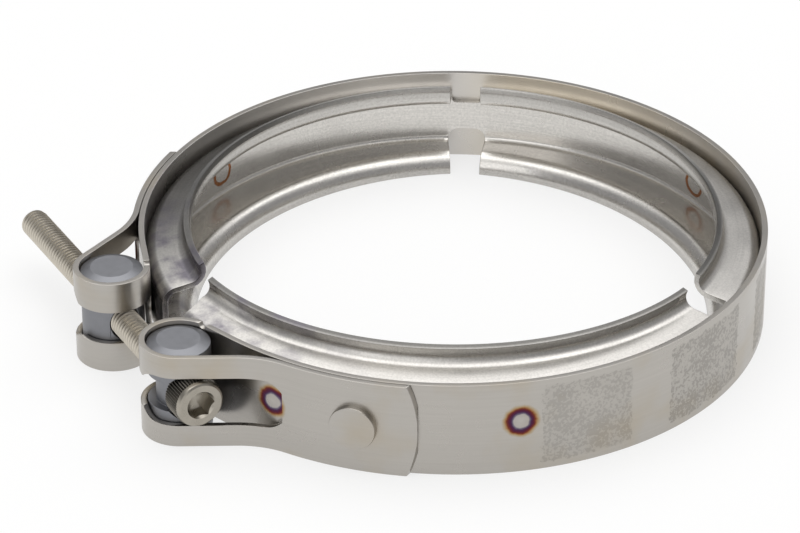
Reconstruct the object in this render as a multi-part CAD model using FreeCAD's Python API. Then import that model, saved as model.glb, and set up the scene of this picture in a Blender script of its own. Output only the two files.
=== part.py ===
"""V-profile exhaust clamp: strip band with looped ends, V insert, two trunnions and an M6 cap screw.

Origin on the ring axis at the band's mid width, +Z along the ring axis.
The closure is on -Y and the screw lies parallel to X, with its head on +X.
"""
import FreeCAD
import Part
import math
import os

from FreeCAD import Vector

# Band: one strip of stainless sheet
band_outer_radius = 63.5
band_width = 20.0
band_sheet = 1.2
tail_gap = 0.1
tail_slope_deg = 63.0
tail_bend_radius = 18.0
tail_end_deg = 55.3
tail_end_crown_radius = 27.5
tail_corner_deg = 12.0
edge_relief_radius = 0.9

# Closure: the two trunnions and the slots that the screw passes through
trunnion_radius = 6.25
trunnion_set_back = 0.1
trunnion_half_spacing = 15.4
trunnion_chamfer_width = 2.0
trunnion_chamfer_height = 0.9
loop_clearance = 0.2
lead_in_length = 8.0
screw_slot_clearance = 0.5
screw_slot_start_deg = 22.0
head_slot_clearance = 0.3
head_slot_start_deg = 29.0
head_slot_end_deg = 31.6

# Screw: M6 socket head cap screw
screw_radius = 3.0
screw_length = 74.0
screw_end_chamfer = 0.6
head_radius = 5.0
head_height = 6.0
head_edge_chamfer = 0.5
socket_width = 5.0
socket_depth = 3.0
socket_cone_height = 1.2
thread_play = 0.05
head_play = 0.1

# Trunnion under the head: clearance hole, sunk seat and turned neck
hole_clearance = 0.3
seat_offset = 3.6
seat_clearance = 0.4
neck_wall = 1.3
neck_height = 6.2
nut_countersink_width = 0.9

# Insert: roll formed V profile with axial lips
insert_sheet = 1.2
insert_seat_gap = 0.05
insert_depth = 9.85
lip_stand_out = 0.75
insert_lift = 0.8
lip_height = 2.45
flange_rise = 1.5
groove_drop = 0.5
lip_bend_radius = 1.8
web_bend_radius = 1.2
insert_gap_centre_deg = -92.0
insert_gap_deg = 8.2
notch_angles_deg = (31.6, 148.4)
upper_notch_width = 6.4
lower_notch_width = 7.4
upper_notch_floor = 2.8
lower_notch_floor = 3.6
upper_notch_corner = 1.0
lower_notch_corner = 2.2

# Rivets that hold the folded tails on the band
rivet_head_radius = 4.65
rivet_head_height = 1.3
rivet_head_edge = 0.4
rivet_shank_radius = 2.5
rivet_hole_play = 0.05
rivet_deg = 44.3

# Cutting tools run past the faces that they cut by this much
overrun = 0.5
UP = Vector(0, 0, 1)
OUT = Vector(1, 0, 0)

# Worked out from the sizes above
band_inner_radius = band_outer_radius - band_sheet
half_width = band_width / 2
lip_inner_radius = band_inner_radius - insert_seat_gap - insert_depth
insert_height = band_width + 2 * lip_stand_out
fold_height = insert_height - 2 * lip_height
web_height = fold_height - 2 * flange_rise
trunnion_length = band_width - 2 * trunnion_set_back
screw_slot_height = 2 * (screw_radius + screw_slot_clearance)
head_slot_height = 2 * (head_radius + head_slot_clearance)
clearance_hole_radius = screw_radius + hole_clearance
nut_hole_radius = screw_radius + thread_play
nut_countersink_radius = nut_hole_radius + nut_countersink_width
neck_radius = clearance_hole_radius + neck_wall
seat_radius = head_radius + seat_clearance
loop_inner_radius = trunnion_radius + loop_clearance
loop_outer_radius = loop_inner_radius + band_sheet
tail_inner_radius = band_outer_radius + tail_gap
tail_outer_radius = tail_inner_radius + band_sheet
trunnion_reach = math.hypot(band_outer_radius + loop_inner_radius, lead_in_length)
trunnion_y = -math.sqrt(trunnion_reach ** 2 - trunnion_half_spacing ** 2)
seat_x = trunnion_half_spacing + seat_offset
head_underside_x = seat_x + head_play
head_face_x = head_underside_x + head_height


def polar(radius, angle, centre=Vector(0, 0, 0)):
    """Point at a radius and an angle in degrees round a centre, in the ring's plane."""
    turn = math.radians(angle)
    return centre + Vector(radius * math.cos(turn), radius * math.sin(turn), 0)


def direction(angle):
    """Unit vector at an angle in degrees in the ring's plane."""
    return polar(1.0, angle)


def angle_of(vector):
    """Angle of a vector in the ring's plane, in degrees."""
    return math.degrees(math.atan2(vector.y, vector.x))


def arc(centre, radius, start, end):
    """Arc round a centre from one angle to another, either way round."""
    middle = polar(radius, (start + end) / 2, centre)
    return Part.Arc(polar(radius, start, centre), middle, polar(radius, end, centre)).toShape()


def line(start, end):
    """Straight edge."""
    return Part.LineSegment(start, end).toShape()


def slab(edges, height):
    """Solid with the given closed outline in the ring's plane, centred on the mid plane."""
    face = Part.Face(Part.Wire(Part.__sortEdges__(edges)))
    face.translate(Vector(0, 0, -height / 2))
    return face.extrude(Vector(0, 0, height))


def sector(centre, inner, outer, start, end, height):
    """Part of a flat ring between two angles."""
    edges = [
        arc(centre, inner, start, end),
        arc(centre, outer, start, end),
        line(polar(inner, start, centre), polar(outer, start, centre)),
        line(polar(inner, end, centre), polar(outer, end, centre)),
    ]
    return slab(edges, height)


def radial_pin(centre, angle, radius, start, end):
    """Cylinder that points away from a centre, from one distance to another."""
    return Part.makeCylinder(radius, end - start, polar(start, angle, centre), direction(angle))


def mirrored(shape):
    """The same shape on the other side of the closure."""
    return shape.mirror(Vector(0, 0, 0), OUT)


class LoopPlan:
    """Plan of the +X end of the strip: lead-in, loop round the trunnion and folded tail."""

    def __init__(self):
        self.trunnion = Vector(trunnion_half_spacing, trunnion_y, 0)
        lag = math.degrees(math.atan2(lead_in_length, band_outer_radius + loop_inner_radius))
        self.leave = angle_of(self.trunnion) + lag
        self.lead = direction(self.leave - 90) * lead_in_length
        self.loop_start = self.leave + 180
        self.loop_end = tail_slope_deg - 90 + 360
        slope = direction(tail_slope_deg)
        normal = direction(tail_slope_deg - 90)
        bend_inner = tail_bend_radius + band_sheet
        offset = normal.dot(self.trunnion) + loop_inner_radius + bend_inner
        reach = math.sqrt((tail_inner_radius + bend_inner) ** 2 - offset ** 2)
        self.bend = normal * offset - slope * reach
        self.bend_radius = bend_inner
        self.bend_start = tail_slope_deg + 90
        self.bend_end = angle_of(self.bend) + 180
        self.land = angle_of(self.bend)

    def straight(self, inner_offset, outer_offset, height):
        """Straight stretch between the loop and the bend, between two offsets from its inner face."""
        start = loop_inner_radius
        finish = self.bend_radius
        edges = [
            line(polar(start + inner_offset, self.loop_end, self.trunnion),
                 polar(finish - inner_offset, self.bend_start, self.bend)),
            line(polar(start + outer_offset, self.loop_end, self.trunnion),
                 polar(finish - outer_offset, self.bend_start, self.bend)),
            line(polar(start + inner_offset, self.loop_end, self.trunnion),
                 polar(start + outer_offset, self.loop_end, self.trunnion)),
            line(polar(finish - inner_offset, self.bend_start, self.bend),
                 polar(finish - outer_offset, self.bend_start, self.bend)),
        ]
        return slab(edges, height)

    def lead_in(self):
        """Straight stretch from the ring to the loop."""
        outer = polar(band_outer_radius, self.leave)
        inner = polar(band_inner_radius, self.leave)
        edges = [
            line(outer, outer + self.lead),
            line(inner, inner + self.lead),
            line(outer, inner),
            line(outer + self.lead, inner + self.lead),
        ]
        return slab(edges, band_width)


plan = LoopPlan()
rivet_angle = rivet_deg - 90
tail_end_angle = tail_end_deg - 90


def looped_end():
    """The +X end of the strip, still without its slot."""
    loop = sector(plan.trunnion, loop_inner_radius, loop_outer_radius,
                  plan.loop_start, plan.loop_end, band_width)
    straight = plan.straight(0, band_sheet, band_width)
    bend = sector(plan.bend, plan.bend_radius - band_sheet, plan.bend_radius,
                  plan.bend_start, plan.bend_end, band_width)
    tail = sector(Vector(0, 0, 0), tail_inner_radius, tail_outer_radius,
                  plan.land, tail_end_angle, band_width)
    return [plan.lead_in(), loop, straight, bend, tail]


def slot_tools():
    """Cutters for the slot: narrow round the closure side, wide where the head goes in."""
    inner = loop_inner_radius - overrun
    outer = loop_outer_radius + overrun
    start = plan.loop_start + screw_slot_start_deg
    wide_start = 270 + head_slot_start_deg
    narrow_round = radial_pin(plan.trunnion, start, screw_slot_height / 2, 0, outer)
    narrow = sector(plan.trunnion, inner, outer, start, wide_start, screw_slot_height)
    wide_round = radial_pin(plan.trunnion, wide_start, head_slot_height / 2, 0, outer)
    wide = sector(plan.trunnion, inner, outer, wide_start, plan.loop_end, head_slot_height)
    straight = plan.straight(-overrun, band_sheet + overrun, head_slot_height)
    end_point = polar(tail_inner_radius, head_slot_end_deg - 90)
    end_angle = angle_of(end_point - plan.bend)
    round_turn = math.degrees(head_slot_height / 2 / plan.bend_radius)
    end_centre = end_angle % 360 + round_turn
    bend_inner = plan.bend_radius - band_sheet - overrun
    bend_outer = plan.bend_radius + tail_gap / 2
    bend = sector(plan.bend, bend_inner, bend_outer, plan.bend_start, end_centre, head_slot_height)
    last = sector(plan.bend, bend_inner, bend_outer, end_centre, plan.bend_end % 360, head_slot_height)
    end_round = radial_pin(plan.bend, end_centre, head_slot_height / 2, bend_inner, bend_outer + overrun)
    return [narrow_round, narrow, wide_round, wide, straight, bend, last.common(end_round)]


def edge_reliefs():
    """Small round reliefs in both edges of the strip, where the lead-in turns into the loop."""
    middle = polar(band_inner_radius, plan.leave) + plan.lead
    outward = direction(plan.leave)
    length = band_sheet + 2 * overrun
    tools = []
    for side in (-1, 1):
        base = middle - outward * overrun + UP * (side * half_width)
        tools.append(Part.makeCylinder(edge_relief_radius, length, base, outward))
    return tools


def tail_end_tool():
    """What the crowned end of the tail takes off the corners."""
    corner_start = tail_end_angle - tail_corner_deg
    zone = sector(Vector(0, 0, 0), tail_inner_radius - tail_gap / 2, tail_outer_radius + overrun,
                  corner_start, tail_end_angle + overrun, band_width + overrun)
    lag = math.degrees(math.asin(tail_end_crown_radius / tail_outer_radius))
    crown = radial_pin(Vector(0, 0, 0), tail_end_angle - lag, tail_end_crown_radius,
                       0, tail_outer_radius + overrun)
    return zone.cut(crown)


def outer_band():
    """The strip: ring, looped ends, slots, reliefs and rivet holes."""
    ring = sector(Vector(0, 0, 0), band_inner_radius, band_outer_radius,
                  plan.leave, 180 - plan.leave, band_width)
    end = looped_end()
    stretches = end + [mirrored(piece) for piece in end]
    band = ring.fuse(stretches).removeSplitter()
    hole = radial_pin(Vector(0, 0, 0), rivet_angle, rivet_shank_radius + rivet_hole_play,
                      band_inner_radius - overrun, tail_outer_radius + overrun)
    tools = slot_tools() + edge_reliefs() + [tail_end_tool(), hole]
    return band.cut(tools + [mirrored(tool) for tool in tools])


def rounded_side(points, radii):
    """Straight lines through the points, with a round of its own radius at each inner one."""
    edges = []
    last = points[0]
    for before, corner, after, radius in zip(points, points[1:], points[2:], radii):
        back = (before - corner).normalize()
        ahead = (after - corner).normalize()
        half = back.getAngle(ahead) / 2
        cut = radius / math.tan(half)
        centre = corner + (back + ahead).normalize() * (radius / math.sin(half))
        middle = centre + (corner - centre).normalize() * radius
        edges.append(line(last, corner + back * cut))
        edges.append(Part.Arc(corner + back * cut, middle, corner + ahead * cut).toShape())
        last = corner + ahead * cut
    edges.append(line(last, points[-1]))
    return edges


def folded_side(points, radii):
    """Straight lines through the points, with one flat across the outside of each bend that has a radius."""
    corners = [points[0]]
    for before, corner, after, radius in zip(points, points[1:], points[2:], radii):
        back = (before - corner).normalize()
        ahead = (after - corner).normalize()
        cut = radius / math.tan(back.getAngle(ahead) / 2)
        corners += [corner + back * cut, corner + ahead * cut] if radius else [corner]
    corners.append(points[-1])
    return [line(start, end) for start, end in zip(corners, corners[1:])]


def insert_profile():
    """Section of the insert in the XZ plane: lip, flange, web, flange, lip."""
    web_outer = band_inner_radius - insert_seat_gap
    web_inner = web_outer - insert_sheet
    lip_outer = lip_inner_radius + insert_sheet
    top = insert_height / 2
    fold = fold_height / 2
    corner = web_height / 2
    slope = math.atan2(fold - corner, web_outer - lip_outer)
    shift = insert_sheet * math.tan(math.pi / 4 - slope / 2)
    lip_round = lip_bend_radius + insert_sheet / 2
    web_round = web_bend_radius + insert_sheet / 2
    outside = [(lip_outer, fold), (web_outer, corner)]
    inside = [(lip_inner_radius, fold - shift), (web_inner, corner - shift)]
    sides = []
    for radius, bends, rounds in ((lip_outer, outside, (0, web_round)),
                                  (lip_inner_radius, inside, (lip_round, 0))):
        upper = [Vector(x, 0, z - groove_drop) for x, z in bends]
        lower = [Vector(x, 0, -z - groove_drop) for x, z in reversed(bends)]
        lips = [Vector(radius, 0, top)], [Vector(radius, 0, -top)]
        sides.append(folded_side(lips[0] + upper + lower + lips[1], rounds + rounds[::-1]))
    ends = [line(Vector(lip_inner_radius, 0, z), Vector(lip_outer, 0, z)) for z in (top, -top)]
    return Part.Face(Part.Wire(Part.__sortEdges__(sides[0] + sides[1] + ends)))


def notch_tool(angle, width, corner, floor, side):
    """Cutter for one notch through a lip, its flange and the web's edge, with rounded inner corners."""
    near = side * floor
    far = side * (insert_height / 2 + overrun)
    half = width / 2
    start = lip_inner_radius - overrun
    depth = band_inner_radius - start
    points = [
        Vector(start, -half, far),
        Vector(start, -half, near),
        Vector(start, half, near),
        Vector(start, half, far),
    ]
    edges = rounded_side(points, (corner, corner)) + [line(points[3], points[0])]
    tool = Part.Face(Part.Wire(Part.__sortEdges__(edges))).extrude(OUT * depth)
    tool.rotate(Vector(0, 0, 0), UP, angle)
    return tool


def v_insert():
    """The roll formed ring, open at the closure and notched in two places to close evenly."""
    profile = insert_profile()
    profile.rotate(Vector(0, 0, 0), UP, insert_gap_centre_deg + insert_gap_deg / 2)
    ring = profile.revolve(Vector(0, 0, 0), UP, 360 - insert_gap_deg)
    tools = []
    for angle in notch_angles_deg:
        tools.append(notch_tool(angle, upper_notch_width, upper_notch_corner, upper_notch_floor, 1))
        tools.append(notch_tool(angle, lower_notch_width, lower_notch_corner, lower_notch_floor, -1))
    insert = ring.cut(tools)
    insert.translate(UP * insert_lift)
    return insert


def turned(points, centre):
    """Solid of revolution about the Z line through a centre, from (radius, height) points."""
    outline = [Vector(radius, 0, height) for radius, height in points]
    face = Part.Face(Part.makePolygon(outline + outline[:1]))
    solid = face.revolve(Vector(0, 0, 0), UP, 360)
    solid.translate(centre)
    return solid


def trunnion_outline(neck):
    """Half section of a trunnion with chamfered ends, with a neck if one is given."""
    end = trunnion_length / 2
    face = trunnion_radius - trunnion_chamfer_width
    shoulder = end - trunnion_chamfer_height
    half_neck = neck_height / 2
    middle = []
    if neck:
        waist = [(trunnion_radius, half_neck), (neck, half_neck)]
        middle = [(radius, -height) for radius, height in waist] + waist[::-1]
    return [(0, -end), (face, -end), (trunnion_radius, -shoulder)] + middle + \
        [(trunnion_radius, shoulder), (face, end), (0, end)]


def plain_trunnion():
    """Barrel under the screw's head, with its clearance hole, neck and sunk seat."""
    barrel = turned(trunnion_outline(neck_radius), plan.trunnion)
    reach = trunnion_radius + overrun
    hole = Part.makeCylinder(clearance_hole_radius, 2 * reach, plan.trunnion - OUT * reach, OUT)
    seat = Part.makeCylinder(seat_radius, reach, plan.trunnion + OUT * seat_offset, OUT)
    return barrel.cut([hole, seat])


def nut_trunnion():
    """Barrel with the screw's thread, countersunk at both mouths."""
    centre = Vector(-plan.trunnion.x, plan.trunnion.y, 0)
    barrel = turned(trunnion_outline(None), centre)
    reach = trunnion_radius + overrun
    tools = [Part.makeCylinder(nut_hole_radius, 2 * reach, centre - OUT * reach, OUT)]
    for side in (-1, 1):
        mouth = centre + OUT * (side * trunnion_radius)
        sink = Part.makeCone(nut_countersink_radius, nut_hole_radius, nut_countersink_width,
                             mouth, OUT * -side)
        clear = Part.makeCylinder(nut_countersink_radius, overrun, mouth, OUT * side)
        tools += [sink, clear]
    return barrel.cut(tools)


def hexagon(width, x):
    """Six-sided face across the screw's axis, with a corner at the top and one at the bottom."""
    corner = width / 2 / math.cos(math.radians(30))
    points = []
    for step in range(6):
        turn = math.radians(60 * step + 30)
        points.append(Vector(x, plan.trunnion.y + corner * math.cos(turn), corner * math.sin(turn)))
    return Part.Face(Part.makePolygon(points + points[:1]))


def clamp_screw():
    """Socket head cap screw, turned about its own axis."""
    axis_point = Vector(0, plan.trunnion.y, 0)
    tip = head_underside_x - screw_length
    outline = [
        (tip, 0),
        (tip, screw_radius - screw_end_chamfer),
        (tip + screw_end_chamfer, screw_radius),
        (head_underside_x, screw_radius),
        (head_underside_x, head_radius),
        (head_face_x - head_edge_chamfer, head_radius),
        (head_face_x, head_radius - head_edge_chamfer),
        (head_face_x, 0),
    ]
    points = [axis_point + Vector(x, radius, 0) for x, radius in outline]
    face = Part.Face(Part.makePolygon(points + points[:1]))
    body = face.revolve(axis_point, OUT, 360)
    floor_x = head_face_x - socket_depth
    socket = hexagon(socket_width, floor_x).extrude(OUT * (socket_depth + overrun))
    cone = Part.makeCone(socket_width / 2, 0, socket_cone_height, axis_point + OUT * floor_x, OUT * -1)
    return body.cut([socket, cone])


def tail_rivet():
    """Rivet with a low flat head on the tail and a shank closed flush inside the band."""
    length = tail_outer_radius + rivet_head_height
    head = Part.makeCylinder(rivet_head_radius, length, Vector(0, 0, 0), OUT)
    rim = [edge for edge in head.Edges if edge.BoundBox.XMin > length - rivet_head_edge and edge.Closed]
    head = head.makeChamfer(rivet_head_edge, rim)
    seat = Part.makeCylinder(tail_outer_radius, band_width, Vector(0, 0, -half_width))
    shank = Part.makeCylinder(rivet_shank_radius, tail_outer_radius + overrun, Vector(0, 0, 0), OUT)
    bore = Part.makeCylinder(band_inner_radius, band_width, Vector(0, 0, -half_width))
    rivet = head.cut(seat).fuse(shank.cut(bore)).removeSplitter()
    rivet.rotate(Vector(0, 0, 0), UP, rivet_angle)
    return rivet


os.makedirs("parts", exist_ok=True)
pieces = {
    "outer_band": outer_band(),
    "v_insert": v_insert(),
    "plain_trunnion": plain_trunnion(),
    "nut_trunnion": nut_trunnion(),
    "clamp_screw": clamp_screw(),
    "head_side_rivet": tail_rivet(),
    "nut_side_rivet": mirrored(tail_rivet()),
}
for name, shape in pieces.items():
    solids = shape.Solids
    if len(solids) != 1 or not shape.isValid():
        raise ValueError("%s has %d solids, valid %s" % (name, len(solids), shape.isValid()))
    solids[0].exportStep("parts/" + name + ".step")
    box = shape.BoundBox
    print("%-16s volume %9.1f  x %7.2f %7.2f  y %7.2f %7.2f  z %6.2f %6.2f" % (
        name, shape.Volume, box.XMin, box.XMax, box.YMin, box.YMax, box.ZMin, box.ZMax))
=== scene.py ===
"""Exhaust clamp: the visual model of a V-profile clamp, laid out as an add-on and run as a script."""
import math
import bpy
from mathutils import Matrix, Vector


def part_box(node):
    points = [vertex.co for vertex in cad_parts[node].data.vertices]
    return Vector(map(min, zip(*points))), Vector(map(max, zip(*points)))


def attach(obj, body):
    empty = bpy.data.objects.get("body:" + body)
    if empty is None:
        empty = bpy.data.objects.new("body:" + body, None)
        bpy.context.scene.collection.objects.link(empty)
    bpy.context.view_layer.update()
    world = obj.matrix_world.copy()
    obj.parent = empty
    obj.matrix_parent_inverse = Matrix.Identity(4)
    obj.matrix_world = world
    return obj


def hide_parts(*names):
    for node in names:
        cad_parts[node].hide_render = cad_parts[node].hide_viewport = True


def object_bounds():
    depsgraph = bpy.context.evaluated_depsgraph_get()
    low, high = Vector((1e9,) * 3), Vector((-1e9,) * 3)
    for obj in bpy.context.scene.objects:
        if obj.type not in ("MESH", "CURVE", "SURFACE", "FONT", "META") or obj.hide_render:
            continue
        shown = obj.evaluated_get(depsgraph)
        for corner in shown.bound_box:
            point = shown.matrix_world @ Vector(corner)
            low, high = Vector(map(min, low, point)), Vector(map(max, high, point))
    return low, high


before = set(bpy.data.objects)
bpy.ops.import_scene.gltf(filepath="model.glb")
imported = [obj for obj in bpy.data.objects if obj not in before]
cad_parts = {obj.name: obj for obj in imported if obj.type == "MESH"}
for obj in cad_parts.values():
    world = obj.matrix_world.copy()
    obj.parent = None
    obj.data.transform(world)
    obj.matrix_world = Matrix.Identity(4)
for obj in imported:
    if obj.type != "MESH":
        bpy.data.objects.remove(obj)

from types import SimpleNamespace

import bmesh
import bpy
from bpy.props import FloatProperty, FloatVectorProperty, PointerProperty
from mathutils import Vector

bl_info = {
    "name": "Exhaust clamp",
    "version": (1, 0, 0),
    "blender": (4, 5, 0),
    "location": "View3D > Sidebar > Clamp",
    "description": "Builds a V-profile exhaust clamp round its fixed frame",
    "category": "Add Mesh",
}

MM = 0.001
UP = Vector((0, 0, 1))
OUT = Vector((1, 0, 0))
ORIGIN = Vector((0, 0, 0))
CAD_LOW, CAD_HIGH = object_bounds()
BAND_LOW, BAND_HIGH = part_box("outer_band")
INSERT_LOW, INSERT_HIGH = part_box("v_insert")
SCREW_LOW, SCREW_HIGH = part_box("clamp_screw")
TRUNNION_LOW, TRUNNION_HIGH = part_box("plain_trunnion")

# Directions round the ring, in degrees from +X
BACK_DEG = 90
CLOSURE_DEG = -90
GAP_MIDDLE_DEG = 268
NOTCHES_DEG = (31.6, 148.4)
# Angles from the closure to a rivet's middle and to a slot's end in the tail
RIVET_DEG = 44.3
SLOT_END_DEG = 31.6
# Degrees for one facet of the ring, a bend, a loop and a short arc
RING_STEP, BEND_STEP, LOOP_STEP, FINE_STEP = 1.5, 3, 4, 1
# How far a cutter reaches past what it cuts
SPARE = 0.5 * MM
# Places nearer than this are the same place
HAIR = 0.01 * MM
# The insert's flanges and lips lie within this radius
LIP_REACH = INSERT_HIGH.x - 3 * MM
# Spot welds of the insert: angle round the ring in degrees, and height in millimetres
SPOT_WELDS = ((-61.65, 0.0), (-16.95, 1.4), (94.85, -1.0), (204.25, -0.5), (241.7, 0.0))
# Faded patches on the band's outside: middle angle and half width in degrees
FADED_PATCHES = ((-4.5, 8.6), (23.0, 10.1), (46.7, 4.5))
# A noise texture stays almost wholly between these values
NOISE_LOW, NOISE_HIGH = 0.3, 0.7


def length(name, description, metres):
    """A size that a user can change."""
    return FloatProperty(name=name, description=description, default=metres, unit="LENGTH", precision=5)


def degrees(name, description, value):
    """An angle that a user can change, kept in radians."""
    return FloatProperty(name=name, description=description, default=math.radians(value),
                         unit="ROTATION")


def linear(code):
    """Linear colour, solid, from an sRGB hex code."""
    channels = [int(code[place:place + 2], 16) / 255 for place in (1, 3, 5)]
    return tuple(c / 12.92 if c <= 0.04045 else ((c + 0.055) / 1.055) ** 2.4 for c in channels) + (1.0,)


def colour(name, description, code):
    """A colour that a user can change."""
    return FloatVectorProperty(name=name, description=description, default=linear(code),
                               size=4, min=0, max=1, subtype="COLOR")


class ClampSizes(bpy.types.PropertyGroup):
    """Sizes of the clamp's pieces."""
    ring_radius: length("Ring radius", "Outside of the band", BAND_HIGH.y)
    strip_width: length("Strip width", "Width of the band", BAND_HIGH.z - BAND_LOW.z)
    sheet: length("Sheet", "Thickness of the band and the insert", 1.2 * MM)
    tail_gap: length("Tail gap", "Between the ring and a folded tail", 0.1 * MM)
    tail_slope: degrees("Tail slope", "Slope of the straight run from loop to tail", 63)
    tail_bend: length("Tail bend", "Outer radius where the tail meets the ring", 18 * MM)
    tail_end: degrees("Tail end", "Where the tail ends, from the closure", 55.3)
    crown: length("Crown", "Radius of the tail's crowned end", 27.5 * MM)
    trunnion_radius: length("Trunnion radius", "Barrel radius",
                            (TRUNNION_HIGH.x - TRUNNION_LOW.x) / 2)
    trunnion_spread: length("Trunnion spread", "From the middle to each trunnion",
                            (TRUNNION_HIGH.x + TRUNNION_LOW.x) / 2)
    trunnion_length: length("Trunnion length", "Length of both barrels",
                            TRUNNION_HIGH.z - TRUNNION_LOW.z)
    loop_play: length("Loop play", "Between a loop and its trunnion", 0.2 * MM)
    lead_in: length("Lead-in", "Straight run from ring to loop", 8 * MM)
    screw_slot: length("Screw slot", "Height of the slot's narrow part", 7 * MM)
    head_slot: length("Head slot", "Height of the slot's wide part", 10.6 * MM)
    lip_radius: length("Lip radius", "From the axis to a lip's rim, before it is flattened", 55.6 * MM)
    lip_lean: FloatProperty(name="Lip lean", default=0.45,
                            description="Lean of the upper lip per unit of height")
    lip_flatness: FloatProperty(name="Lip flatness", default=0.925,
                                description="Depth of a flattened lip's middle, as a share of its radius")
    upper_flange: length("Upper flange", "Height of the upper flange's middle, at its lip", 7.7 * MM)
    lower_flange: length("Lower flange", "Depth of the lower flange's middle, at its lip", 6.6 * MM)
    flange_at_web: length("Flange at web", "Height or depth of a flange's middle, at the web", 5.85 * MM)
    insert_gap: degrees("Insert gap", "Opening in the insert at the closure", 8.2)
    edge: length("Broken edge", "Width of the broken edges", 0.12 * MM)


class ClampFinishes(bpy.types.PropertyGroup):
    """Colours of the clamp's metals."""
    strip: colour("Strip", "Cold rolled stainless strip", "#B3AFA9")
    insert: colour("Insert", "Roll formed stainless insert", "#D4D1CC")
    zinc: colour("Zinc", "Bluish zinc plating on the trunnions", "#88898D")
    screw: colour("Screw", "Stainless screw", "#D2CBBE")
    floor: colour("Floor", "Pale floor", "#F4F4F3")


def polar(radius, angle, centre=ORIGIN):
    """Point at a radius and an angle in degrees round a centre, in the ring's plane."""
    turn = math.radians(angle)
    return centre + Vector((radius * math.cos(turn), radius * math.sin(turn), 0))


def angle_of(vector):
    """Angle of a vector in the ring's plane, in degrees."""
    return math.degrees(math.atan2(vector.y, vector.x))


def closure_plan(sizes):
    """Plan of the strip's +X end: lead-in, loop round the trunnion, straight run, bend and tail."""
    plan = SimpleNamespace()
    plan.loop_inner = sizes.trunnion_radius + sizes.loop_play
    plan.loop_outer = plan.loop_inner + sizes.sheet
    plan.ring_inner = sizes.ring_radius - sizes.sheet
    plan.tail_inner = sizes.ring_radius + sizes.tail_gap
    plan.tail_outer = plan.tail_inner + sizes.sheet
    reach = math.hypot(sizes.ring_radius + plan.loop_inner, sizes.lead_in)
    plan.trunnion = Vector((sizes.trunnion_spread,
                            -math.sqrt(reach ** 2 - sizes.trunnion_spread ** 2), 0))
    lag = math.degrees(math.atan2(sizes.lead_in, sizes.ring_radius + plan.loop_inner))
    plan.leave = angle_of(plan.trunnion) + lag
    plan.lead = polar(sizes.lead_in, plan.leave - 90)
    slope = math.degrees(sizes.tail_slope)
    plan.loop_start = plan.leave + 180
    plan.loop_end = slope - 90 + 360
    normal = polar(1, slope - 90)
    plan.bend_radius = sizes.tail_bend + sizes.sheet
    offset = normal.dot(plan.trunnion) + plan.loop_inner + plan.bend_radius
    run = math.sqrt((plan.tail_inner + plan.bend_radius) ** 2 - offset ** 2)
    plan.bend = normal * offset - polar(1, slope) * run
    plan.bend_start = slope + 90
    plan.land = angle_of(plan.bend)
    plan.bend_end = plan.land + 180
    plan.slope_run = polar(plan.bend_radius, plan.bend_start, plan.bend) - \
        polar(plan.loop_inner, plan.loop_end, plan.trunnion)
    plan.tail_end = math.degrees(sizes.tail_end) + CLOSURE_DEG
    return plan


def start(add_primitive, **place):
    """Add a primitive with nothing else selected, put its place in its mesh, and return its object."""
    scale = place.pop("scale_to", (1, 1, 1))
    bpy.ops.object.select_all(action="DESELECT")
    add_primitive(**place)
    piece = bpy.context.object
    piece.scale = scale
    bpy.ops.object.transform_apply(location=True, rotation=True, scale=True)
    return piece


def choose(piece):
    """Make a piece the only selected object."""
    bpy.ops.object.select_all(action="DESELECT")
    bpy.context.view_layer.objects.active = piece
    piece.select_set(True)


def edit(piece):
    """Open a piece for editing, with every vertex selected."""
    choose(piece)
    bpy.ops.object.mode_set(mode="EDIT")
    bpy.ops.mesh.select_mode(type="VERT")
    bpy.ops.mesh.select_all(action="SELECT")


def close():
    """Leave edit mode."""
    bpy.ops.object.mode_set(mode="OBJECT")


def pick(piece, kind, test):
    """In edit mode, select only the vertices, edges or faces whose middle passes a test."""
    bpy.ops.mesh.select_all(action="DESELECT")
    bpy.ops.mesh.select_mode(type=kind)
    mesh = bmesh.from_edit_mesh(piece.data)
    group = {"VERT": mesh.verts, "EDGE": mesh.edges, "FACE": mesh.faces}[kind]
    for element in group:
        corners = [element] if kind == "VERT" else element.verts
        middle = sum((corner.co for corner in corners), Vector()) / len(corners)
        element.select = bool(test(middle))
    mesh.select_flush_mode()
    bmesh.update_edit_mesh(piece.data)


def spin(centre, turn, step):
    """Spin the selection round an upright axis, anticlockwise when the turn is positive."""
    steps = max(1, round(abs(turn) / step))
    bpy.ops.mesh.spin(steps=steps, angle=math.radians(-turn), center=centre, axis=UP)


def pull(offset):
    """Extrude the selection by an offset."""
    bpy.ops.mesh.extrude_region_move(TRANSFORM_OT_translate={"value": offset})


def grow(ratio, centre):
    """Scale the selection in the ring's plane about a point."""
    bpy.ops.transform.resize(value=(ratio, ratio, 1), center_override=centre)


def mend(piece, gap=0.002 * MM):
    """Merge doubles and point every face outwards."""
    edit(piece)
    bpy.ops.mesh.remove_doubles(threshold=gap)
    bpy.ops.mesh.normals_make_consistent(inside=False)
    close()


def modify(piece, kind, **settings):
    """Add a modifier, set it and apply it."""
    choose(piece)
    bpy.ops.object.modifier_add(type=kind)
    modifier = piece.modifiers[-1]
    for name, value in settings.items():
        setattr(modifier, name, value)
    bpy.ops.object.modifier_apply(modifier=modifier.name)


def combine(piece, tool, operation="DIFFERENCE"):
    """Cut a piece with a tool, or join or intersect the two, and remove the tool."""
    modify(piece, "BOOLEAN", object=tool, operation=operation, solver="EXACT")
    bpy.data.objects.remove(tool)


def ease(piece, width, sharp=42):
    """Break the edges sharper than a limit, as tumbling does, and shade the rest as round."""
    mend(piece, HAIR)
    modify(piece, "BEVEL", width=width, segments=2, limit_method="ANGLE",
           angle_limit=math.radians(sharp), use_clamp_overlap=False, miter_outer="MITER_ARC")
    smooth(piece, sharp - 4)


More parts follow.
